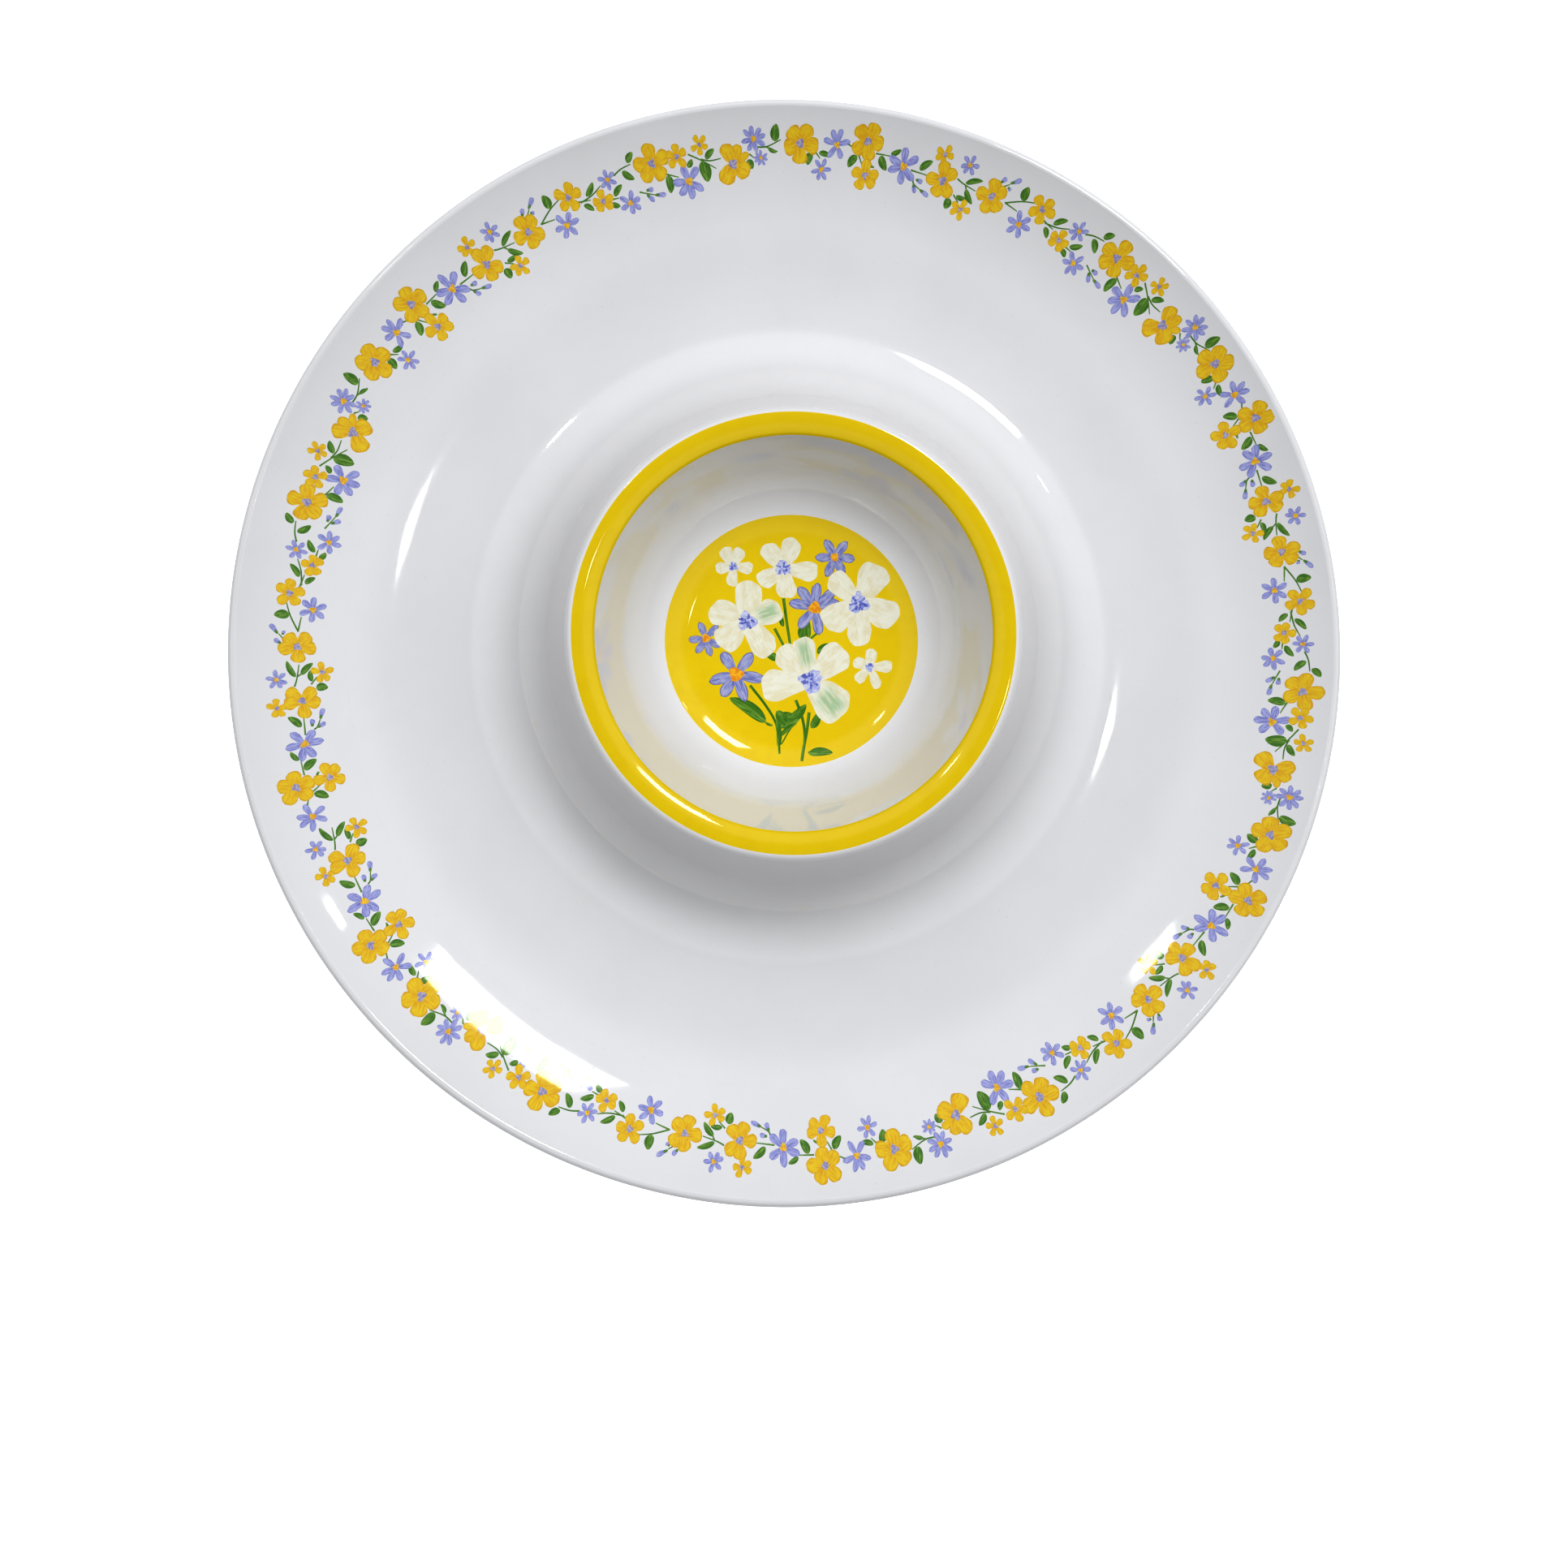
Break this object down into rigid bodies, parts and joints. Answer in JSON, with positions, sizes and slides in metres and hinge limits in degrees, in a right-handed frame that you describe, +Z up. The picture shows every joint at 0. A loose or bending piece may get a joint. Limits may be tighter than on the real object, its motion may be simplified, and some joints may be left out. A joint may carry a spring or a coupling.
{
  "type": "chip and dip server",
  "caption": "Round glossy serving dish with a raised central dip bowl, a coloured bowl rim, a decorated bowl floor and a printed flower border.",
  "frame": {"origin": "on the axis, in the plane of the foot ring's underside", "axes": "+Z up along the object's axis of symmetry; +Y towards the top of the bouquet, +X to its right"},
  "size_m": [0.3556, 0.3556, 0.043],
  "materials": {
    "white_melamine": "compression-moulded white melamine with a polished gloss",
    "yellow_band": "opaque warm yellow under the same clear gloss coat",
    "bouquet_print": "warm yellow print with white and lilac flowers, under a clear gloss coat",
    "border_print": "white print film with painted yellow and lilac blossoms and green leaves, under a clear gloss coat"
  },
  "bodies": {
    "root": {"platter_body": "white_melamine", "rim_band": "yellow_band", "bowl_floor_disc": "bouquet_print", "flower_border": "border_print"}
  },
  "joints": []
}
